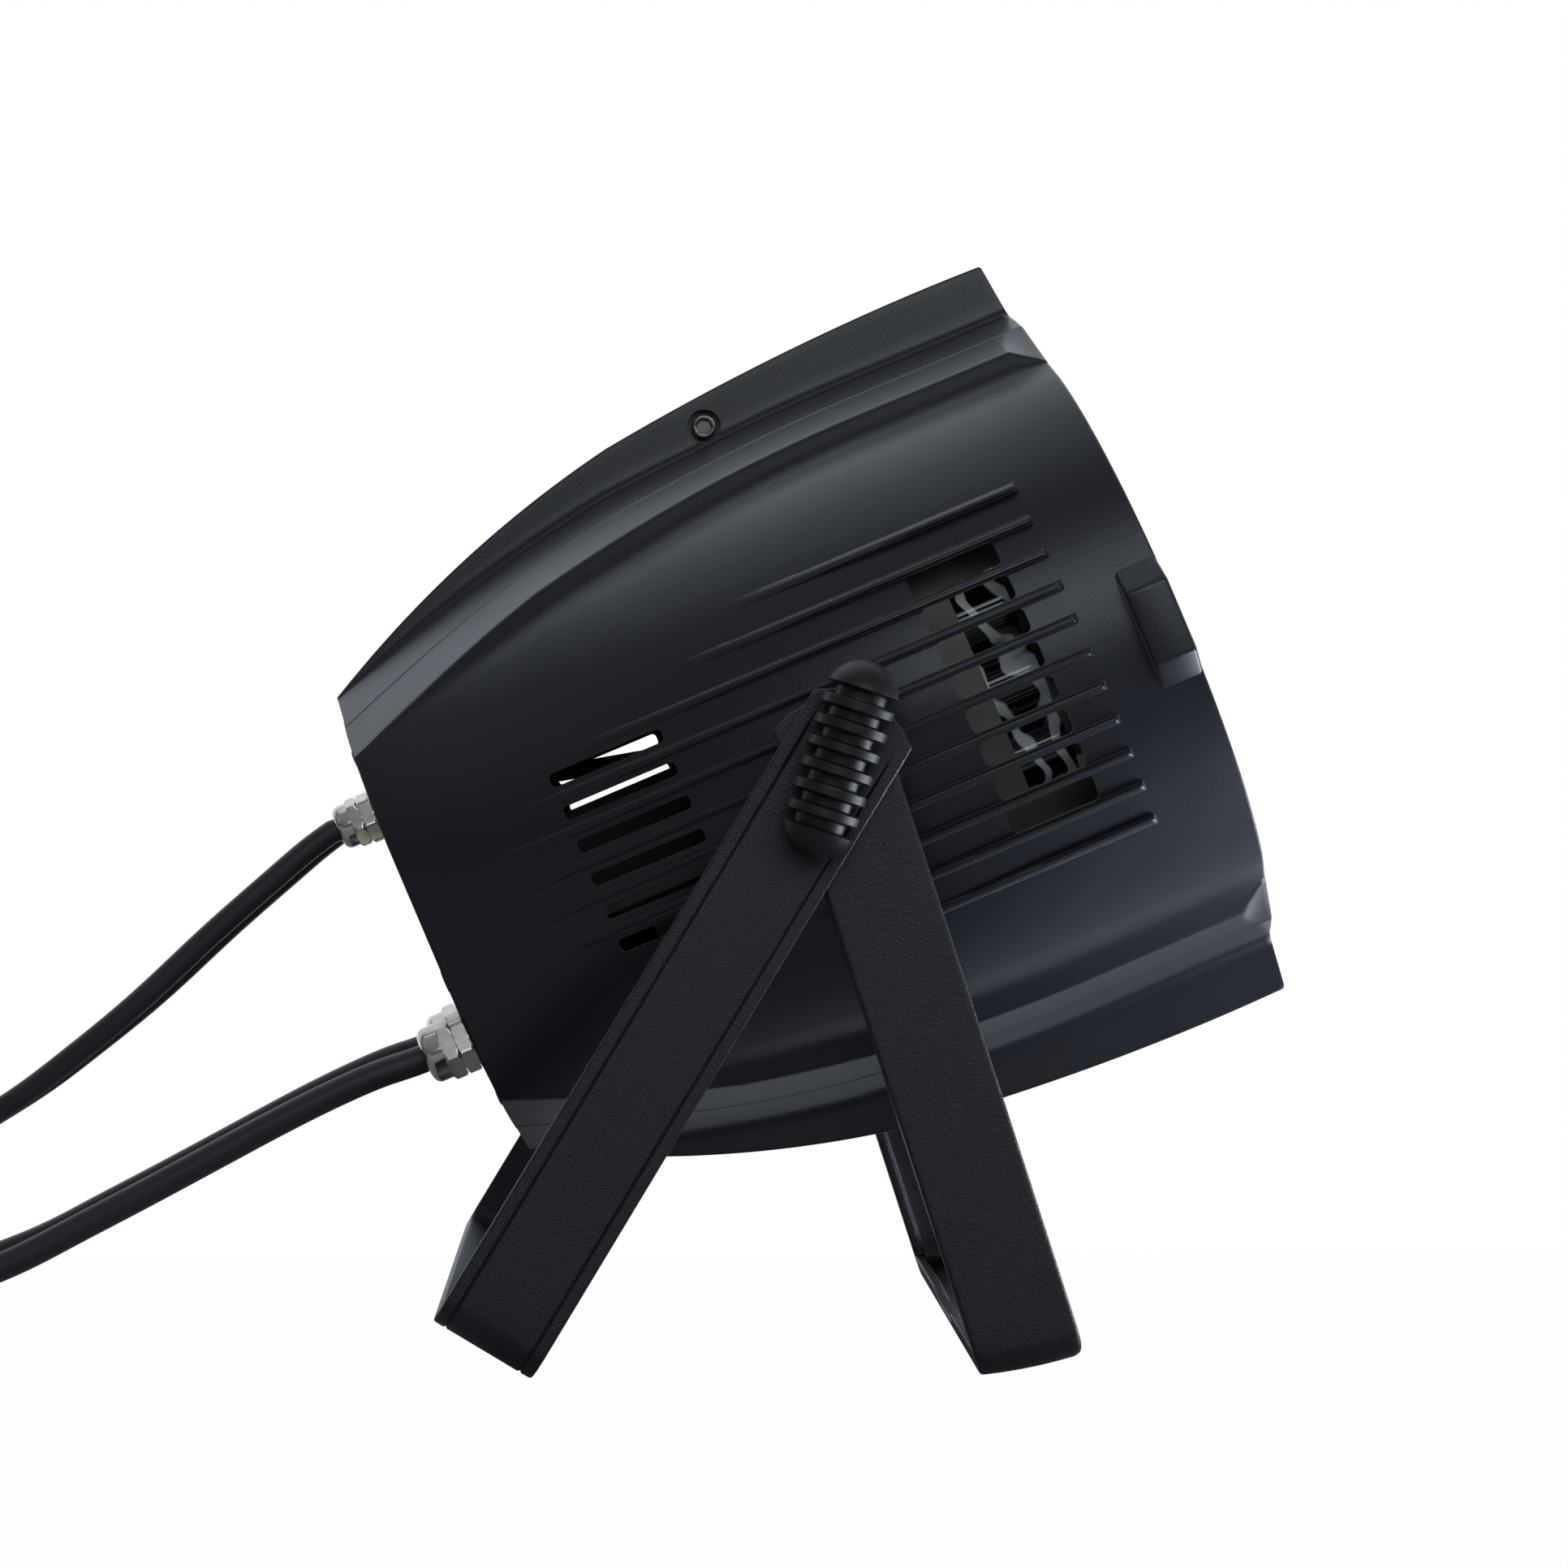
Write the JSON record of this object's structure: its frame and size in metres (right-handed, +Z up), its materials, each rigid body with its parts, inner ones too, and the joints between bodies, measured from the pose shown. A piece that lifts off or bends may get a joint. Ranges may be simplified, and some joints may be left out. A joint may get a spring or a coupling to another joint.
{
  "type": "par can light",
  "caption": "Finned stage wash light in a tapered two-part housing, held by two clamp knobs in a double yoke that stands on the floor, with gland-fed signal and power tails.",
  "frame": {"origin": "on the floor under the middle of the light", "axes": "+Z up, +X the way the light points, +Y away from the camera"},
  "size_m": [0.6549, 0.3474, 0.3249],
  "materials": {
    "yoke_paint": "fine black powder coat",
    "shell_paint": "satin black powder coat on cast aluminium",
    "knob_plastic": "glossy black",
    "steel": "zinc plated",
    "glass": "clear toughened glass",
    "seal": "matt",
    "metal_inside": "bare",
    "cup_plastic": "glossy black",
    "lens_plastic": "clear",
    "emitter": "matt",
    "white_board": "white solder mask",
    "fan_plastic": "matt black",
    "supply_case": "mixed electronics in a light case",
    "board": "green solder mask",
    "display": "dark window",
    "button_plastic": "grey",
    "nickel": "nickel plated brass",
    "lead_rubber": "matt",
    "cord_rubber": "satin black rubber",
    "strap": "hook and loop",
    "connector_plastic": "satin black"
  },
  "bodies": {
    "stand": {"outer_yoke": "yoke_paint", "yoke_washers": "steel", "signal_coil_near": "cord_rubber", "signal_coil_far": "cord_rubber", "power_coil_near": "cord_rubber", "power_coil_far": "cord_rubber", "coil_ties": "strap", "signal_plug": "connector_plastic", "signal_socket": "connector_plastic", "power_plug": "connector_plastic", "power_socket": "connector_plastic"},
    "inner_yoke": {"inner_yoke": "yoke_paint"},
    "head": {"shell_near": "shell_paint", "shell_far": "shell_paint", "front_bezel": "shell_paint", "rear_plate": "shell_paint", "shell_screws": "steel", "shell_nuts": "steel", "pivot_bosses": "steel", "bezel_screws": "steel", "chassis_screws": "steel", "rear_plate_screws": "steel", "front_glass": "glass", "glass_gasket": "seal", "led_drum": "metal_inside", "heat_sink": "metal_inside", "chassis_plate": "metal_inside", "lens_cups": "cup_plastic", "lens_optics": "lens_plastic", "led_emitters": "emitter", "led_board": "white_board", "fan_frame": "fan_plastic", "power_supply": "supply_case", "driver_board": "board", "control_board": "board", "display_module": "display", "signal_glands": "nickel", "signal_gland_caps": "nickel", "power_glands": "nickel", "power_gland_caps": "nickel", "gland_locknuts": "nickel", "signal_leads": "lead_rubber", "power_leads": "lead_rubber", "signal_cord_near": "cord_rubber", "signal_cord_far": "cord_rubber", "power_cord_near": "cord_rubber", "power_cord_far": "cord_rubber"},
    "knob_near": {"knob_near": "knob_plastic", "stud_near": "steel", "knob_washer_near": "steel"},
    "knob_far": {"knob_far": "knob_plastic", "stud_far": "steel", "knob_washer_far": "steel"},
    "fan_rotor": {"fan_rotor": "fan_plastic"},
    "button_1": {"button_1": "button_plastic"},
    "button_2": {"button_2": "button_plastic"},
    "button_3": {"button_3": "button_plastic"},
    "button_4": {"button_4": "button_plastic"}
  },
  "joints": [
    {"name": "inner_yoke_swing", "type": "hinge", "parent": "stand", "child": "inner_yoke", "pos_m": [0.00166, 0, 0.17301], "axis": [0, -1, 0], "range_deg": [-49, 120]},
    {"name": "head_tilt", "type": "hinge", "parent": "stand", "child": "head", "pos_m": [0.00166, 0, 0.17301], "axis": [0, -1, 0], "range_deg": [-68, 67], "deforming": ["signal_cord_near", "signal_cord_far", "power_cord_near", "power_cord_far"]},
    {"name": "knob_near_turn", "type": "hinge", "parent": "head", "child": "knob_near", "pos_m": [0.00166, 0, 0.17301], "axis": [0, -1, 0], "continuous": true},
    {"name": "knob_far_turn", "type": "hinge", "parent": "head", "child": "knob_far", "pos_m": [0.00166, 0, 0.17301], "axis": [0, 1, 0], "continuous": true},
    {"name": "fan_spin", "type": "hinge", "parent": "head", "child": "fan_rotor", "pos_m": [0.00166, 0, 0.17301], "axis": [0.9205, 0, 0.3907], "continuous": true},
    {"name": "button_1_press", "type": "slide", "parent": "head", "child": "button_1", "axis": [0.9205, 0, 0.3907], "range_m": [0, 0.0008], "stiffness_N_per_m": 1500, "springref_m": -0.0004},
    {"name": "button_2_press", "type": "slide", "parent": "head", "child": "button_2", "axis": [0.9205, 0, 0.3907], "range_m": [0, 0.0008], "stiffness_N_per_m": 1500, "springref_m": -0.0004},
    {"name": "button_3_press", "type": "slide", "parent": "head", "child": "button_3", "axis": [0.9205, 0, 0.3907], "range_m": [0, 0.0008], "stiffness_N_per_m": 1500, "springref_m": -0.0004},
    {"name": "button_4_press", "type": "slide", "parent": "head", "child": "button_4", "axis": [0.9205, 0, 0.3907], "range_m": [0, 0.0008], "stiffness_N_per_m": 1500, "springref_m": -0.0004}
  ]
}
